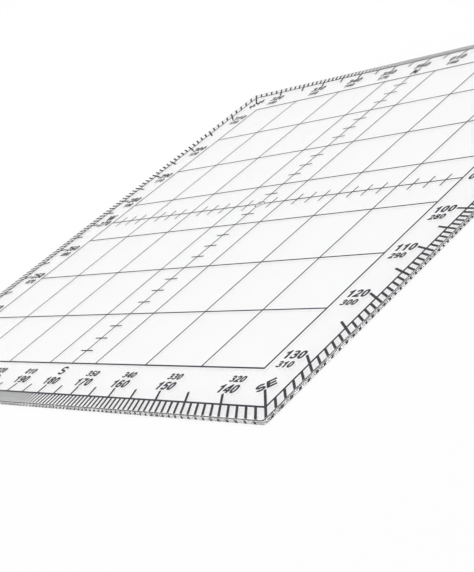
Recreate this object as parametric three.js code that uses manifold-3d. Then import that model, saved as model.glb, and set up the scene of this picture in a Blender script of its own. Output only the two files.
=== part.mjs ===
// Square protractor for chart work: one clear plastic sheet, screen printed on its upper face with a
// degree scale along the four edges, a grid of squares, two centre lines and the compass letters.
// Millimetres, +Z up. The sheet lies flat on z = 0, with its outline centred on the origin.
// North is +Y and east is +X, and bearings run clockwise from north.

import * as THREE from 'three';
import { mergeVertices } from 'three/addons/utils/BufferGeometryUtils.js';
import Module from 'manifold-3d';

// The clear sheet
const sheet_side = 127; // across the printed face
const sheet_thickness = 0.64;
const corner_radius = 0.5;
const edge_lean_width = 0.17; // how far the cut edges lean out on their way down
const edge_break = 0.1; // the small bevel round the printed face and round the hole
const underside_break = 0.04; // the same round the underside
const centre_hole_diameter = 2;

// The print as a whole: the sheets are cut after printing, so it sits a little off the middle
const ink_thickness = 0.03;
const print_shift_x = 0.3;
const print_shift_y = 0.3;
const rim_clearance = 0.05; // bare rim between the ink and the bevel at the outline
const hole_clearance = 0.25; // bare ring between the ink and the bevel at the centre hole

// The degree scale: ticks that stand on a square line and run out to the edge of the sheet
const tick_length = 2.5; // from the square line to the edge of a sheet that is cut true to the print
const tick_width = 0.42;
const degree_line_width = 0.36;
const long_tick_inner_length = 2.3; // the stretch of a long tick inside the square line
const corner_tick_inner_length = 3.7; // the same for the four ticks that point into the corners

// The chart grid
const border_width = 11; // from the edge of the sheet to the frame of the grid
const frame_line_width = 0.34;
const grid_line_width = 0.27;
const quarter_tick_width = 0.27;
const quarter_tick_length = 3.75;

// The compass letters
const side_letter_height = 2.3; // the single letters in the middle of the sides
const corner_letter_height = 2;
const letter_stem_width = 0.52;
const letter_arm_width = 0.44;
const letter_gap = 0.14; // between the two letters of a corner pair
const corner_word_gap = 0.14; // between a corner pair and its tick
const corner_word_shift = 0.2; // how far a corner pair sits past its tick, the way it reads
const east_west_rise_distance = 2.55; // how far an E or W sits above the centre line

// Counts, and bearings in degrees
const bearing_count = 360;
const long_tick_every_degrees = 5;
const corner_tick_every_degrees = 90;
const corner_tick_first_degrees = 45;
const square_count = 7;
const tick_count_per_square = 4;
const corner_arc_steps = 6;
const hole_sides = 32;
const bowl_steps = 10;

// Where the middle of a letter sits, as a share of the way from the frame to the square line
const north_south_share = 0.25;
const east_west_share = 0.43;

// Widths of the letters as shares of their height
const width_shares = { N: 0.8, E: 0.8, S: 0.8, W: 1.31 };
const arm_share = 0.93; // the middle arm of an E against its full width
const north_notch_share = 0.52; // where an N's diagonal leaves its stem, up the height
const bowl_start_turn_share = 0.05; // where an S starts and stops, in turns round its bowls

// Sizes that follow from these
const half_degree_line = sheet_side / 2 - tick_length;
const half_grid = sheet_side / 2 - border_width;
const grid_square_side = (2 * half_grid) / square_count;
const north_south_distance = half_grid + north_south_share * (half_degree_line - half_grid);
const east_west_distance = half_grid + east_west_share * (half_degree_line - half_grid);
const corner_tick_end = half_degree_line - corner_tick_inner_length;
const half_corner_word = corner_letter_height / 2;
const corner_distance = corner_tick_end - (half_corner_word + corner_word_gap) * Math.SQRT1_2;
const stencil_depth = 2 * sheet_thickness;
const bevel_and_rim = edge_break + rim_clearance;
const clear_radius = centre_hole_diameter / 2 + edge_break + hole_clearance;

const clear_plastic = new THREE.MeshStandardMaterial({
  color: 0xf4f6f6,
  roughness: 0.05,
  metalness: 0,
  transparent: true,
  opacity: 0.3,
});
const black_ink = new THREE.MeshStandardMaterial({ color: 0x2b2a33, roughness: 0.5, metalness: 0 });

const wasm = await Module();
wasm.setup();

// Turns a closed three.js geometry into a solid that can be joined and cut.
function to_solid(geometry) {
  const bare = geometry.clone();
  bare.deleteAttribute('normal');
  bare.deleteAttribute('uv');
  const merged = mergeVertices(bare);
  return new wasm.Manifold(
    new wasm.Mesh({
      numProp: 3,
      vertProperties: Float32Array.from(merged.attributes.position.array),
      triVerts: Uint32Array.from(merged.index.array),
    }),
  );
}

// Turns a solid back into a three.js geometry.
function to_geometry(solid) {
  const mesh = solid.getMesh();
  const geometry = new THREE.BufferGeometry();
  geometry.setAttribute('position', new THREE.BufferAttribute(mesh.vertProperties, 3));
  geometry.setIndex(new THREE.BufferAttribute(mesh.triVerts, 1));
  geometry.computeVertexNormals();
  return geometry;
}

// The corners of a square round the origin, from the one at +X +Y anticlockwise.
function square_corners(reach) {
  return [
    new THREE.Vector2(reach, reach),
    new THREE.Vector2(-reach, reach),
    new THREE.Vector2(-reach, -reach),
    new THREE.Vector2(reach, -reach),
  ];
}

// A flat piece of ink with the given outline, standing on z = 0.
function ink_geometry(shape) {
  return new THREE.ExtrudeGeometry(shape, { depth: ink_thickness, bevelEnabled: false });
}

// A straight bar of the stencil between two corners. The stencil is deeper than the ink film.
function stencil_bar(low_x, low_y, high_x, high_y) {
  const bar = new THREE.BoxGeometry(high_x - low_x, high_y - low_y, stencil_depth);
  bar.translate((low_x + high_x) / 2, (low_y + high_y) / 2, 0);
  return bar;
}

// A square line of the stencil, of the given width, whose middle runs at half_side from the centre.
function stencil_square(half_side, width) {
  const shape = new THREE.Shape(square_corners(half_side + width / 2));
  shape.holes.push(new THREE.Path(square_corners(half_side - width / 2)));
  const square = new THREE.ExtrudeGeometry(shape, { depth: stencil_depth, bevelEnabled: false });
  square.translate(0, 0, -stencil_depth / 2);
  return square;
}

// The ink that a stencil of touching pieces leaves on the sheet: a film cut off along the outline
// of the sheet and by the drill of the centre hole.
function printed(pieces) {
  const film = ink_geometry(rounded_square(sheet_side - 2 * bevel_and_rim, corner_radius));
  film.translate(-print_shift_x, -print_shift_y, 0);
  const drill = new THREE.CylinderGeometry(clear_radius, clear_radius, stencil_depth, hole_sides);
  drill.rotateX(Math.PI / 2);
  const stencil = pieces.map(to_solid).reduce((sum, piece) => sum.add(piece));
  return to_geometry(to_solid(film).intersect(stencil).subtract(to_solid(drill)));
}

// A square outline with rounded corners, centred on the origin.
function rounded_square(side, radius) {
  const points = [];
  square_corners(side / 2 - radius).forEach((middle, corner) => {
    for (let step = 0; step <= corner_arc_steps; step += 1) {
      const angle = (corner + step / corner_arc_steps) * (Math.PI / 2);
      const from_middle = new THREE.Vector2(radius * Math.cos(angle), radius * Math.sin(angle));
      points.push(from_middle.add(middle));
    }
  });
  return new THREE.Shape(points);
}

// The drill of the centre hole, which is countersunk a little at both ends.
function countersunk_drill() {
  const radius = centre_hole_diameter / 2;
  const wide = radius + 2 * edge_break;
  const profile = [
    [0, -edge_break],
    [wide, -edge_break],
    [radius, edge_break],
    [radius, sheet_thickness - edge_break],
    [wide, sheet_thickness + edge_break],
    [0, sheet_thickness + edge_break],
  ];
  const points = profile.map(([across, up]) => new THREE.Vector2(across, up));
  const drill = new THREE.LatheGeometry(points, hole_sides);
  drill.rotateX(Math.PI / 2);
  drill.translate(print_shift_x, print_shift_y, 0);
  return drill;
}

// The clear sheet, with its edges leaning out downwards and the hole that the bearings turn round.
function clear_sheet() {
  const underside_side = sheet_side + 2 * edge_lean_width;
  const rims = [
    [underside_side - 2 * underside_break, 0],
    [underside_side, underside_break],
    [sheet_side, sheet_thickness - edge_break],
    [sheet_side - 2 * edge_break, sheet_thickness],
  ];
  const corners = rims.flatMap(([side, height]) =>
    rounded_square(side, corner_radius).getPoints().map(({ x, y }) => [x, y, height]),
  );
  return to_geometry(wasm.Manifold.hull(corners).subtract(to_solid(countersunk_drill())));
}

// How far from the middle of the print a tick starts: on the square line, or inside it if long.
function tick_start(bearing) {
  const angle = THREE.MathUtils.degToRad(bearing);
  const in_corner = (bearing - corner_tick_first_degrees) % corner_tick_every_degrees === 0;
  const is_long = bearing % long_tick_every_degrees === 0;
  const inner_length = in_corner ? corner_tick_inner_length : long_tick_inner_length;
  const start_square = half_degree_line - (is_long ? inner_length : 0);
  return start_square / Math.max(Math.abs(Math.sin(angle)), Math.abs(Math.cos(angle)));
}

// The degree scale: the square line with a tick at every degree, cut off along the edge of the sheet.
function degree_scale() {
  const pieces = [stencil_square(half_degree_line, degree_line_width)];
  for (let bearing = 0; bearing < bearing_count; bearing += 1) {
    const tick = stencil_bar(-tick_width / 2, tick_start(bearing), tick_width / 2, sheet_side);
    tick.rotateZ(-THREE.MathUtils.degToRad(bearing));
    pieces.push(tick);
  }
  return printed(pieces);
}

// The chart grid: a square frame with its lines, two centre lines, and short ticks across these.
function chart_grid() {
  const pieces = [stencil_square(half_grid, frame_line_width)];
  const half_line = grid_line_width / 2;
  const half_tick = quarter_tick_width / 2;
  const half_length = quarter_tick_length / 2;
  const tick_count_across = square_count * tick_count_per_square;
  for (let place = 1; place < tick_count_across; place += 1) {
    const along = (place / tick_count_per_square) * grid_square_side - half_grid;
    const is_line = place % tick_count_per_square === 0 || place === tick_count_across / 2;
    const across = is_line ? half_line : half_tick;
    const reach = is_line ? half_grid : half_length;
    pieces.push(stencil_bar(along - across, -reach, along + across, reach));
    pieces.push(stencil_bar(-reach, along - across, reach, along + across));
  }
  return printed(pieces);
}

// The outlines of the four letters, each in a box from (0, 0) to its width and height.
const letter_outlines = {
  N(width, height) {
    const stem = letter_stem_width;
    const notch = height * north_notch_share;
    return [
      [0, 0],
      [stem, 0],
      [stem, notch],
      [width - stem, 0],
      [width, 0],
      [width, height],
      [width - stem, height],
      [width - stem, height - notch],
      [stem, height],
      [0, height],
    ];
  },
  E(width, height) {
    const stem = letter_stem_width;
    const low_arm_top = letter_arm_width;
    const middle_arm_foot = (height - letter_arm_width) / 2;
    const middle_arm_top = (height + letter_arm_width) / 2;
    const high_arm_foot = height - letter_arm_width;
    return [
      [0, 0],
      [width, 0],
      [width, low_arm_top],
      [stem, low_arm_top],
      [stem, middle_arm_foot],
      [width * arm_share, middle_arm_foot],
      [width * arm_share, middle_arm_top],
      [stem, middle_arm_top],
      [stem, high_arm_foot],
      [width, high_arm_foot],
      [width, height],
      [0, height],
    ];
  },
  S(width, height) {
    const stroke = letter_arm_width;
    const across = (width - stroke) / 2;
    const up = (height - stroke) / 4;
    const start = bowl_start_turn_share;
    const bowl = (middle_y, grow, first_turn, last_turn) => {
      const points = [];
      for (let step = 0; step <= bowl_steps; step += 1) {
        const angle = (first_turn + (last_turn - first_turn) * (step / bowl_steps)) * Math.PI * 2;
        const x = width / 2 + (across + grow) * Math.cos(angle);
        points.push([x, middle_y + (up + grow) * Math.sin(angle)]);
      }
      return points;
    };
    const upper = height / 2 + up;
    const lower = height / 2 - up;
    const half_turn = 1 / 2;
    const quarter_turn = half_turn / 2;
    const outer_side = bowl(upper, stroke / 2, start, half_turn + quarter_turn);
    const then_inner = bowl(lower, -stroke / 2, quarter_turn, start - half_turn);
    const back_outer = bowl(lower, stroke / 2, start - half_turn, quarter_turn);
    const last_inner = bowl(upper, -stroke / 2, half_turn + quarter_turn, start);
    return [...outer_side, ...then_inner.slice(1), ...back_outer, ...last_inner.slice(1)];
  },
  W(width, height) {
    const stroke = letter_stem_width;
    const run = (width - stroke) / 4;
    const notch = (stroke * height) / (2 * run);
    return [
      [0, height],
      [run, 0],
      [run + stroke, 0],
      [width / 2, height - notch],
      [width - run - stroke, 0],
      [width - run, 0],
      [width, height],
      [width - stroke, height],
      [width - run - stroke / 2, notch],
      [width / 2 + stroke / 2, height],
      [width / 2 - stroke / 2, height],
      [run + stroke / 2, notch],
      [stroke, height],
    ];
  },
};

// One letter of ink, centred on the origin.
function letter_geometry(letter, height) {
  const width = height * width_shares[letter];
  const corners = letter_outlines[letter](width, height).map(
    ([x, y]) => new THREE.Vector2(x - width / 2, y - height / 2),
  );
  return ink_geometry(new THREE.Shape(corners));
}

function ink_mesh(name, geometry) {
  const mesh = new THREE.Mesh(geometry, black_ink);
  mesh.name = name;
  return mesh;
}

// A word of one or two letters, centred on the origin and reading along +X.
function compass_word(name, letters, height) {
  const word = new THREE.Group();
  const widths = [...letters].map((letter) => height * width_shares[letter]);
  const length = widths.reduce((sum, width) => sum + width, letter_gap * (letters.length - 1));
  let left = -length / 2;
  [...letters].forEach((letter, place) => {
    const mesh_name = letters.length === 1 ? name : `${name}_${letter.toLowerCase()}`;
    const mesh = ink_mesh(mesh_name, letter_geometry(letter, height));
    mesh.position.x = left + widths[place] / 2;
    word.add(mesh);
    left += widths[place] + letter_gap;
  });
  return word;
}

const group = new THREE.Group();

const sheet = new THREE.Mesh(clear_sheet(), clear_plastic);
sheet.name = 'clear_sheet';
group.add(sheet);

const print = new THREE.Group();
print.position.set(print_shift_x, print_shift_y, sheet_thickness);
group.add(print);
print.add(ink_mesh('degree_scale', degree_scale()));
print.add(ink_mesh('chart_grid', chart_grid()));

const cardinal_letters = [
  ['letter_north', 'N', 0, north_south_distance],
  ['letter_east', 'E', east_west_distance, east_west_rise_distance],
  ['letter_south', 'S', 0, -north_south_distance],
  ['letter_west', 'W', -east_west_distance, east_west_rise_distance],
];
for (const [name, letter, x, y] of cardinal_letters) {
  const word = compass_word(name, letter, side_letter_height);
  word.position.set(x, y, 0);
  print.add(word);
}

// The corner pairs lie across their corner tick and stay within an eighth of a turn of upright.
const corner_words = [
  ['letters_north_east', 'NE', 1, 1],
  ['letters_south_east', 'SE', 1, -1],
  ['letters_south_west', 'SW', -1, -1],
  ['letters_north_west', 'NW', -1, 1],
];
for (const [name, letters, side_x, side_y] of corner_words) {
  const word = compass_word(name, letters, corner_letter_height);
  word.position.set(side_x * corner_distance, side_y * corner_distance, 0);
  word.rotation.z = (-side_x * side_y * Math.PI) / 4;
  word.translateX(corner_word_shift);
  print.add(word);
}

export default group;
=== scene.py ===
from math import copysign, cos, radians, sin

import bpy
import bmesh
from mathutils import Matrix, Vector
from mathutils.geometry import tessellate_polygon


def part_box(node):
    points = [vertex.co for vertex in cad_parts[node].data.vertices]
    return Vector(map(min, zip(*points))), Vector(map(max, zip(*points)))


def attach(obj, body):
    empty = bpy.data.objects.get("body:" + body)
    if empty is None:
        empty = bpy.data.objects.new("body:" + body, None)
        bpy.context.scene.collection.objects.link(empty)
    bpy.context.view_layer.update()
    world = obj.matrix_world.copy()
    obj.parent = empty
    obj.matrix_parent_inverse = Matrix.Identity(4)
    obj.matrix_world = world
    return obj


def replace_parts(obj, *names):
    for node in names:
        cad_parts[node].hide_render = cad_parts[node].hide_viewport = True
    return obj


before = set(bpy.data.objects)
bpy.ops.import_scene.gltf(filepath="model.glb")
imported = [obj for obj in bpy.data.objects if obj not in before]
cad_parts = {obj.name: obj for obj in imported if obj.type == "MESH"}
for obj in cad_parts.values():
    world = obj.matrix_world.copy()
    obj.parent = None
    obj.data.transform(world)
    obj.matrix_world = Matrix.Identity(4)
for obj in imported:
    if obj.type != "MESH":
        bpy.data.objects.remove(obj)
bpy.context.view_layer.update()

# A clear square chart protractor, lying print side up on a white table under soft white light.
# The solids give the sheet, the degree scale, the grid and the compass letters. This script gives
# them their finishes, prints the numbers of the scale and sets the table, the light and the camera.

MM = 0.001

# The sheet and the print, read from the solids
_, sheet_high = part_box("clear_sheet")
ink_low, ink_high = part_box("degree_scale")
grid_low, grid_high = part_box("chart_grid")
print_centre = (grid_low + grid_high) / 2
printed_face = sheet_high.z
ink_film = ink_high.z - ink_low.z
ink_bite = 0.02 * MM  # how deep the ink has etched itself into the plastic

# The faces of the sheet, and the scratches on its underside
steep = 0.5  # a cut edge or the hole's wall, by the upward part of the face's normal
level = 0.95  # the printed face or the underside; what lies between the two is a broken edge
polished_rim = 0.8 * MM  # the outermost strip of the underside has kept its polish
worn_band = 6 * MM  # inside the rim, the wear grows outwards across a strip this wide
inner_wear = 0.86  # the wear further in, against 1 at the rim

# The numbers of the scale
tick_end = 58.7 * MM  # the long ticks stop on a square this far from the centre of the print
digit_width = 0.7  # of a digit that is one unit high
digit_pitch_share = 0.783  # from digit to digit in a number, against their height
bowl_squareness = 0.85  # 1 makes the bowls of the digits ellipses, less makes them squarer
bowl_step = 15  # degrees from point to point round a bowl
bearing_digit = 1.95 * MM  # the height of the digits in a bearing
reciprocal_digit = 1.48 * MM  # and in a reciprocal, the smaller number beside it
side_column = 56.1 * MM  # the middle of the numbers beside the left and right ticks
side_rise = 0.12 * MM  # how far a bearing there sits above the end of its tick
side_row_pitch = 2.33 * MM  # from a bearing down to its reciprocal
bearing_row = 57.48 * MM  # the middle of the numbers above and below the other ticks
reciprocal_row = 55.16 * MM

# The camera
camera_place = Vector((194.71, -145.77, 73.12)) * MM
camera_target = Vector((23.61, -29.64, 0.64)) * MM
camera_roll = radians(-29.02)
camera_lens = 81.2  # for a 36 mm frame on the long side

# The table and the light
table_side = 6.0  # in metres, like the places and sides of the lamps
table_gap = 0.03 * MM  # the film of air that is left under the sheet
table_white_share = 0.8  # how white the table looks by itself, whatever light falls on it
sky_strength = 0.6  # of the light that the room gives, where 1 is how white it looks
left_lamp_place = (-0.9, -0.3, 1.1)
back_lamp_place = (0.3, 1.0, 1.2)
lamp_side = 0.8
left_lamp_power = 9.0
back_lamp_power = 6.3
sheet_bounces = 24  # light runs to and fro between the sheet's faces before it comes out of an edge
table_bounces = 4


def linear(hex_colour):
    """An sRGB colour as the shaders take it."""
    channels = [((hex_colour >> shift) & 255) / 255 for shift in (16, 8, 0)]
    return [c / 12.92 if c <= 0.04045 else ((c + 0.055) / 1.055) ** 2.4 for c in channels] + [1]


def add_node(tree, kind, inputs=(), **settings):
    """Adds a node with its settings, and gives each input a value or a link."""
    node = tree.nodes.new(kind)
    for name, value in settings.items():
        setattr(node, name, value)
    for socket, value in dict(inputs).items():
        if isinstance(value, bpy.types.NodeSocket):
            tree.links.new(value, node.inputs[socket])
        else:
            node.inputs[socket].default_value = value
    return node


def maths_in(tree):
    """A short way to add math nodes to a tree."""

    def maths(operation, *values):
        return add_node(tree, "ShaderNodeMath", dict(enumerate(values)), operation=operation).outputs[0]

    return maths


def new_material(name):
    """An empty material, with its tree and the output that its shader goes to."""
    material = bpy.data.materials.new(name)
    material.use_nodes = True
    tree = material.node_tree
    tree.nodes.clear()
    return material, tree, tree.nodes.new("ShaderNodeOutputMaterial")


# Finishes


def clear_acrylic(name, mark_size, marks, roughness, colour=0xFFFFFF, transmission=1.0, reach=None):
    """Clear acrylic, rougher where its noise passes the marks. Past the reach it stays polished."""
    material, tree, output = new_material(name)
    place = add_node(tree, "ShaderNodeTexCoord").outputs["Object"]
    noise = add_node(
        tree,
        "ShaderNodeTexNoise",
        {"Vector": place, "Scale": 1 / mark_size, "Detail": 2.0, "Roughness": 0.6},
    ).outputs["Fac"]
    if reach:
        maths = maths_in(tree)
        x, y, _ = add_node(tree, "ShaderNodeSeparateXYZ", {0: place}).outputs
        from_middle = maths("MAXIMUM", maths("ABSOLUTE", x), maths("ABSOLUTE", y))
        wear = add_node(
            tree,
            "ShaderNodeMapRange",
            {
                "Value": from_middle,
                "From Min": reach - worn_band,
                "From Max": reach,
                "To Min": inner_wear,
            },
        ).outputs[0]
        noise = maths("MULTIPLY", noise, wear)
        noise = maths("MULTIPLY", noise, maths("LESS_THAN", from_middle, reach))
    spread = add_node(
        tree,
        "ShaderNodeMapRange",
        {
            "Value": noise,
            "From Min": marks[0],
            "From Max": marks[1],
            "To Min": roughness[0],
            "To Max": roughness[1],
        },
    ).outputs[0]
    shader = add_node(
        tree,
        "ShaderNodeBsdfPrincipled",
        {
            "Base Color": linear(colour),
            "Roughness": spread,
            "IOR": 1.49,
            "Transmission Weight": transmission,
        },
    )
    tree.links.new(shader.outputs[0], output.inputs["Surface"])
    return material


def screen_ink():
    """Black screen ink: a thin even film, dried satin, with a faint grain left by the mesh."""
    material, tree, output = new_material("black_screen_ink")
    place = add_node(tree, "ShaderNodeTexCoord").outputs["Object"]
    # the threads of a printing screen are about 0.1 mm apart
    grain = add_node(
        tree,
        "ShaderNodeTexNoise",
        {"Vector": place, "Scale": 1 / (0.1 * MM), "Detail": 2.0},
    ).outputs["Fac"]
    colour = add_node(
        tree,
        "ShaderNodeMix",
        {"Factor": grain, "A": linear(0x22212A), "B": linear(0x2E2D37)},
        data_type="RGBA",
    ).outputs["Result"]
    roughness = add_node(
        tree, "ShaderNodeMapRange", {"Value": grain, "To Min": 0.5, "To Max": 0.7}
    ).outputs[0]
    shader = add_node(
        tree,
        "ShaderNodeBsdfPrincipled",
        {"Base Color": colour, "Roughness": roughness, "IOR": 1.5, "Specular IOR Level": 0.2},
    )
    tree.links.new(shader.outputs[0], output.inputs["Surface"])
    return material


# the printed face is polished like glass, with patches of some 9 mm that hands rubbed a little dull
printed = clear_acrylic("polished_acrylic", 9 * MM, marks=(0.45, 0.75), roughness=(0.02, 0.08))
# sliding over charts has covered the underside with fine scratches, 0.1 mm apart: they scatter the
# light that runs along inside the sheet, so that its edges look pale instead of black; the polished
# rim still mirrors the ticks, which show as a row of dark dots along the foot of each side face
rubbed = clear_acrylic(
    "scratched_acrylic",
    0.1 * MM,
    marks=(0.44, 0.5),
    roughness=(0.02, 0.7),
    reach=sheet_high.x - polished_rim,
)
# the shears leave a smooth cut, a little uneven every 0.4 mm, so that what it shows is not quite sharp
cut = clear_acrylic("cut_acrylic", 0.4 * MM, marks=(0.3, 0.8), roughness=(0.01, 0.06))
# the dark grey colour and low transmission of the broken edges are painted shade: they draw the thin
# dark line, where these edges catch no light, along the top of each side face
broken = clear_acrylic(
    "broken_edge_painted_shade",
    0.4 * MM,
    marks=(0.3, 0.8),
    roughness=(0.15, 0.3),
    # painted shade: dark grey, letting little light through, on what is clear acrylic
    colour=0x3C3E42,
    transmission=0.2,
)
sheet_finishes = (printed, rubbed, cut, broken)
ink = screen_ink()


def new_piece(name, mesh):
    """A piece of the protractor under the given name, attached to the root body."""
    piece = bpy.data.objects.new(name, mesh)
    bpy.context.scene.collection.objects.link(piece)
    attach(piece, "root")
    return piece


# The print


def stand_in(node, name, materials, change):
    """A piece in place of a solid: the solid's mesh, corners merged, with one change made to it."""
    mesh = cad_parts[node].data.copy()
    mesh.materials.clear()
    for material in materials:
        mesh.materials.append(material)
    body = bmesh.new()
    body.from_mesh(mesh)
    bmesh.ops.remove_doubles(body, verts=body.verts, dist=0.001 * MM)
    change(body)
    body.to_mesh(mesh)
    body.free()
    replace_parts(new_piece(name, mesh), node)


def sink(body):
    """Ink bites a little into the plastic, so its foot is just below the face of the sheet."""
    for corner in body.verts:
        if corner.co.z < printed_face + ink_film / 2:
            corner.co.z = printed_face - ink_bite


def sort_faces(body):
    """Gives each face of the sheet its finish, by the upward part of its normal."""
    for face in body.faces:
        up = face.normal.z
        if abs(up) < steep:
            finish = cut
        elif abs(up) < level:
            # the broken edges take the dark grey of painted shade
            finish = broken
        else:
            finish = printed if up > 0 else rubbed
        face.material_index = sheet_finishes.index(finish)


def arc(middle_x, middle_y, reach_x, reach_y, start, end):
    """Points round a bowl between two angles in degrees."""
    steps = max(2, round(abs(end - start) / bowl_step))
    points = []
    for step in range(steps + 1):
        turn = radians(start + (end - start) * step / steps)
        across, up = (copysign(abs(share) ** bowl_squareness, share) for share in (cos(turn), sin(turn)))
        points.append((middle_x + reach_x * across, middle_y + reach_y * up))
    return points


def ring(middle_x, middle_y, reach_x, reach_y):
    """A whole bowl."""
    return arc(middle_x, middle_y, reach_x, reach_y, 0, 360 - bowl_step)


# Bold upright digits, one unit high: an outline each, and then its holes
six = [
    arc(0.35, 0.5, 0.345, 0.5, 40, 270)
    + arc(0.35, 0.33, 0.34, 0.33, -75, 108)
    + arc(0.35, 0.5, 0.11, 0.32, 153, 40),
    ring(0.35, 0.315, 0.105, 0.15),
]
digit_outlines = [
    [ring(0.35, 0.5, 0.335, 0.5), ring(0.35, 0.5, 0.105, 0.31)],
    [
        [
            (0.285, 0), (0.525, 0), (0.525, 1), (0.35, 1),
            (0.27, 0.87), (0.06, 0.8), (0.06, 0.62), (0.285, 0.66),
        ],
    ],
    [
        arc(0.35, 0.68, 0.33, 0.32, 175, -35)
        + [(0.36, 0.19), (0.685, 0.19), (0.685, 0), (0.01, 0), (0.01, 0.14)]
        + arc(0.35, 0.68, 0.1, 0.13, -35, 175)
    ],
    [
        arc(0.33, 0.735, 0.315, 0.265, 170, -40)
        + arc(0.34, 0.285, 0.34, 0.285, 40, -170)
        + arc(0.34, 0.285, 0.11, 0.125, -170, 90)
        + [(0.22, 0.41), (0.22, 0.63)]
        + arc(0.33, 0.735, 0.09, 0.105, -90, 170)
    ],
    [
        [
            (0.41, 0), (0.64, 0), (0.64, 0.2), (0.71, 0.2), (0.71, 0.38), (0.64, 0.38),
            (0.64, 1), (0.4, 1), (0, 0.4), (0, 0.2), (0.41, 0.2),
        ],
        [(0.41, 0.38), (0.41, 0.68), (0.2, 0.38)],
    ],
    [
        [(0.12, 1), (0.65, 1), (0.65, 0.82), (0.29, 0.82), (0.27, 0.66)]
        + arc(0.345, 0.33, 0.345, 0.335, 95, -165)
        + arc(0.345, 0.33, 0.11, 0.15, -165, 130)
        + [(0.04, 0.45)]
    ],
    six,
    [
        [
            (0.02, 1), (0.68, 1), (0.68, 0.83), (0.45, 0.43), (0.36, 0),
            (0.11, 0), (0.21, 0.43), (0.42, 0.81), (0.02, 0.81),
        ],
    ],
    [
        arc(0.35, 0.745, 0.315, 0.255, -50, 230) + arc(0.35, 0.285, 0.34, 0.285, 130, 410),
        ring(0.35, 0.75, 0.085, 0.095),
        ring(0.35, 0.285, 0.105, 0.115),
    ],
    [[(digit_width - x, 1 - y) for x, y in loop] for loop in six],
]


def digit_object(value, loops, depth):
    """One digit as a closed slab, one metre high, with its middle on the origin."""
    points = [Vector((x - digit_width / 2, y - 0.5, 0)) for loop in loops for x, y in loop]
    faces = tessellate_polygon([[Vector((x, y, 0)) for x, y in loop] for loop in loops])
    body = bmesh.new()
    feet = [body.verts.new(point) for point in points]
    heads = [body.verts.new(point + Vector((0, 0, depth))) for point in points]
    for corners in faces:
        body.faces.new([heads[corner] for corner in corners])
        body.faces.new([feet[corner] for corner in reversed(corners)])
    first = 0
    for loop in loops:
        for step in range(len(loop)):
            here = first + step
            beyond = first + (step + 1) % len(loop)
            body.faces.new([feet[here], feet[beyond], heads[beyond], heads[here]])
        first += len(loop)
    bmesh.ops.recalc_face_normals(body, faces=body.faces)
    mesh = bpy.data.meshes.new(f"digit_{value}")
    body.to_mesh(mesh)
    body.free()
    return bpy.data.objects.new(f"digit_{value}", mesh)


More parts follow.
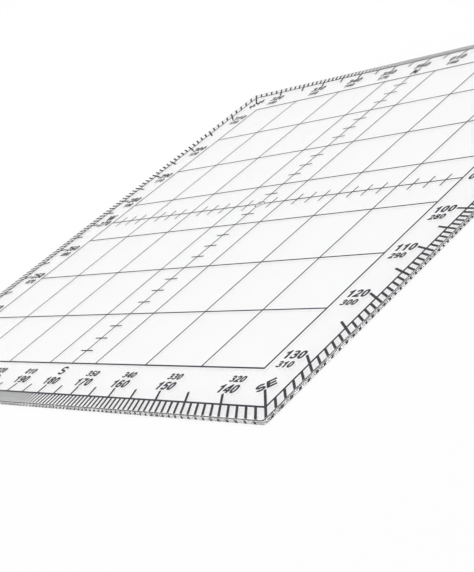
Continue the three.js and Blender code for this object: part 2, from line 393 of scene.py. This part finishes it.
def number_tree():
    """Geometry nodes that set a three digit number at every ten degrees round the square scale."""
    tree = bpy.data.node_groups.new("Numbers round a square scale", "GeometryNodeTree")
    sockets = tree.interface
    inputs = {}
    for name, kind in (
        ("Digits", "NodeSocketCollection"),
        ("Ink", "NodeSocketMaterial"),
        ("Numbers", "NodeSocketInt"),
        ("Turn Added", "NodeSocketFloat"),
        ("Digit Height", "NodeSocketFloat"),
        ("Digit Pitch", "NodeSocketFloat"),
        ("Tick End", "NodeSocketFloat"),
        ("Side Column", "NodeSocketFloat"),
        ("Side Drop", "NodeSocketFloat"),
        ("Row", "NodeSocketFloat"),
        ("Centre", "NodeSocketVector"),
        ("Bare Quarters", "NodeSocketFloat"),
    ):
        inputs[name] = sockets.new_socket(name, in_out="INPUT", socket_type=kind).identifier
    sockets.new_socket("Geometry", in_out="OUTPUT", socket_type="NodeSocketGeometry")
    given = tree.nodes.new("NodeGroupInput").outputs
    maths = maths_in(tree)

    # three points for each number, one for each of its digits
    places = maths("MULTIPLY", given["Numbers"], 3)
    points = add_node(tree, "GeometryNodePoints", {"Count": places}).outputs[0]
    index = add_node(tree, "GeometryNodeInputIndex").outputs[0]
    number = maths("FLOOR", maths("DIVIDE", index, 3))
    column = maths("FLOORED_MODULO", index, 3)
    bearing = maths("MULTIPLY", number, maths("DIVIDE", 360, given["Numbers"]))

    # the digit to print: north reads 360 and not 000; half a degree more keeps a whole number whole
    shown = maths("FLOORED_MODULO", maths("ADD", bearing, given["Turn Added"]), 360)
    shown = maths("ADD", shown, maths("MULTIPLY", maths("LESS_THAN", shown, 0.5), 360))
    power = maths("POWER", 10, maths("SUBTRACT", 2, column))
    cut_off = maths("FLOOR", maths("DIVIDE", maths("ADD", shown, 0.5), power))
    digit = maths("FLOORED_MODULO", cut_off, 10)

    # the end of the tick that the number stands at
    angle = maths("RADIANS", bearing)
    east, north = maths("SINE", angle), maths("COSINE", angle)
    larger = maths("MAXIMUM", maths("ABSOLUTE", east), maths("ABSOLUTE", north))
    tick_x = maths("MULTIPLY", given["Tick End"], maths("DIVIDE", east, larger))
    tick_y = maths("MULTIPLY", given["Tick End"], maths("DIVIDE", north, larger))

    # a column beside the left and right ticks, and a row above or below the others
    beside = maths("GREATER_THAN", maths("ABSOLUTE", east), maths("ABSOLUTE", north))
    column_x = maths("MULTIPLY", maths("SIGN", east), given["Side Column"])
    column_y = maths("SUBTRACT", tick_y, given["Side Drop"])
    row_y = maths("MULTIPLY", maths("SIGN", north), given["Row"])
    x = add_node(tree, "GeometryNodeSwitch", {0: beside, 1: tick_x, 2: column_x}, input_type="FLOAT")
    y = add_node(tree, "GeometryNodeSwitch", {0: beside, 1: row_y, 2: column_y}, input_type="FLOAT")
    step = maths("MULTIPLY", maths("SUBTRACT", column, 1), given["Digit Pitch"])
    place = add_node(
        tree, "ShaderNodeCombineXYZ", {"X": maths("ADD", x.outputs[0], step), "Y": y.outputs[0]}
    ).outputs[0]
    place = add_node(
        tree, "ShaderNodeVectorMath", {0: place, 1: given["Centre"]}, operation="ADD"
    ).outputs[0]
    points = add_node(
        tree, "GeometryNodeSetPosition", {"Geometry": points, "Position": place}
    ).outputs[0]

    # with bare quarters at 1 there is no number at the four compass letters, and at 0 there is:
    # half a degree more puts those bearings at 0.5 past a quarter turn, between the two
    past_quarter = maths("FLOORED_MODULO", maths("ADD", bearing, 0.5), 90)
    kept = maths("GREATER_THAN", past_quarter, given["Bare Quarters"])
    digits = add_node(
        tree,
        "GeometryNodeCollectionInfo",
        {"Collection": given["Digits"], "Separate Children": True, "Reset Children": True},
    ).outputs[0]
    size = add_node(
        tree,
        "ShaderNodeCombineXYZ",
        {"X": given["Digit Height"], "Y": given["Digit Height"], "Z": 1.0},
    ).outputs[0]
    numbers = add_node(
        tree,
        "GeometryNodeInstanceOnPoints",
        {
            "Points": points,
            "Selection": kept,
            "Instance": digits,
            "Pick Instance": True,
            "Instance Index": digit,
            "Scale": size,
        },
    ).outputs[0]
    solid = add_node(tree, "GeometryNodeRealizeInstances", {"Geometry": numbers}).outputs[0]
    inked = add_node(
        tree, "GeometryNodeSetMaterial", {"Geometry": solid, "Material": given["Ink"]}
    ).outputs[0]
    add_node(tree, "NodeGroupOutput", {"Geometry": inked})
    return tree, inputs


def numbers(name, tree, inputs, values):
    """One ring of numbers, made by the tree with these values and then kept as a plain mesh."""
    carrier = bpy.data.objects.new("carrier", bpy.data.meshes.new("carrier"))
    bpy.context.scene.collection.objects.link(carrier)
    modifier = carrier.modifiers.new("numbers", "NODES")
    modifier.node_group = tree
    for socket, value in values.items():
        modifier[inputs[socket]] = value
    seen = carrier.evaluated_get(bpy.context.evaluated_depsgraph_get())
    mesh = bpy.data.meshes.new_from_object(seen)
    bpy.data.objects.remove(carrier)
    new_piece(name, mesh)


digits = bpy.data.collections.new("digits")
for value, loops in enumerate(digit_outlines):
    digits.objects.link(digit_object(value, loops, ink_film + ink_bite))
tree, inputs = number_tree()
shared = {
    "Digits": digits,
    "Ink": ink,
    "Numbers": 36,
    "Tick End": tick_end,
    "Side Column": side_column,
    "Centre": (print_centre.x, print_centre.y, printed_face - ink_bite),
}
numbers(
    "printed_bearings",
    tree,
    inputs,
    {
        **shared,
        "Turn Added": 0.0,
        "Digit Height": bearing_digit,
        "Digit Pitch": bearing_digit * digit_pitch_share,
        "Side Drop": -side_rise,
        "Row": bearing_row,
        "Bare Quarters": 0.0,
    },
)
numbers(
    "printed_reciprocals",
    tree,
    inputs,
    {
        **shared,
        "Turn Added": 180.0,
        "Digit Height": reciprocal_digit,
        "Digit Pitch": reciprocal_digit * digit_pitch_share,
        "Side Drop": side_row_pitch - side_rise,
        "Row": reciprocal_row,
        "Bare Quarters": 1.0,
    },
)
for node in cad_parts:
    if node == "clear_sheet":
        stand_in(node, "protractor_sheet", sheet_finishes, sort_faces)
    else:
        stand_in(node, "printed_" + node, (ink,), sink)


# The white table and the white room


def white_to(tree, camera_share):
    """How white a thing looks: wholly by way of gloss or clear plastic, by a share to the camera."""
    maths = maths_in(tree)
    path = add_node(tree, "ShaderNodeLightPath").outputs
    indirect = maths("MAXIMUM", path["Is Glossy Ray"], path["Is Transmission Ray"])
    return maths("MAXIMUM", indirect, maths("MULTIPLY", path["Is Camera Ray"], camera_share))


material, tree, output = new_material("white_table")
paper = add_node(tree, "ShaderNodeBsdfDiffuse", {"Color": linear(0xF4F4F4)})
glow = add_node(tree, "ShaderNodeEmission", {"Color": linear(0xFFFFFF), "Strength": 1.0})
share = white_to(tree, table_white_share)
mixed = add_node(tree, "ShaderNodeMixShader", {0: share, 1: paper.outputs[0], 2: glow.outputs[0]})
tree.links.new(mixed.outputs[0], output.inputs["Surface"])
top = bpy.data.meshes.new("table")
half = table_side / 2
corners = [(-half, -half), (half, -half), (half, half), (-half, half)]
top.from_pydata([(x, y, -table_gap) for x, y in corners], [], [(0, 1, 2, 3)])
top.materials.append(material)
table = bpy.data.objects.new("table", top)
bpy.context.scene.collection.objects.link(table)

world = bpy.data.worlds.new("white_room")
world.use_nodes = True
tree = world.node_tree
tree.nodes.clear()
strength = add_node(
    tree,
    "ShaderNodeMapRange",
    {"Value": white_to(tree, 1.0), "To Min": sky_strength, "To Max": 1.0},
).outputs[0]
sky = add_node(tree, "ShaderNodeBackground", {"Color": linear(0xFFFFFF), "Strength": strength})
add_node(tree, "ShaderNodeOutputWorld", {"Surface": sky.outputs[0]})
bpy.context.scene.world = world


def soft_lamp(name, place, power):
    """A square softbox that looks at the middle of the sheet."""
    data = bpy.data.lights.new(name, "AREA")
    data.shape = "SQUARE"
    data.size = lamp_side
    data.energy = power
    lamp = bpy.data.objects.new(name, data)
    lamp.location = place
    lamp.rotation_euler = (-Vector(place)).to_track_quat("-Z", "Y").to_euler()
    bpy.context.scene.collection.objects.link(lamp)


soft_lamp("softbox_left", left_lamp_place, left_lamp_power)
soft_lamp("softbox_back", back_lamp_place, back_lamp_power)

# The camera, turned about its own axis as it was held
data = bpy.data.cameras.new("camera")
data.lens = camera_lens
data.clip_start = 0.01
camera = bpy.data.objects.new("camera", data)
aim = (camera_target - camera_place).to_track_quat("-Z", "Y").to_matrix().to_4x4()
camera.matrix_world = Matrix.Translation(camera_place) @ aim @ Matrix.Rotation(camera_roll, 4, "Z")
bpy.context.scene.collection.objects.link(camera)
bpy.context.scene.camera = camera
bpy.context.scene.view_settings.view_transform = "Standard"

# How often light may turn before it is given up
limits = bpy.context.scene.cycles
limits.max_bounces = limits.glossy_bounces = limits.transmission_bounces = sheet_bounces
limits.diffuse_bounces = table_bounces
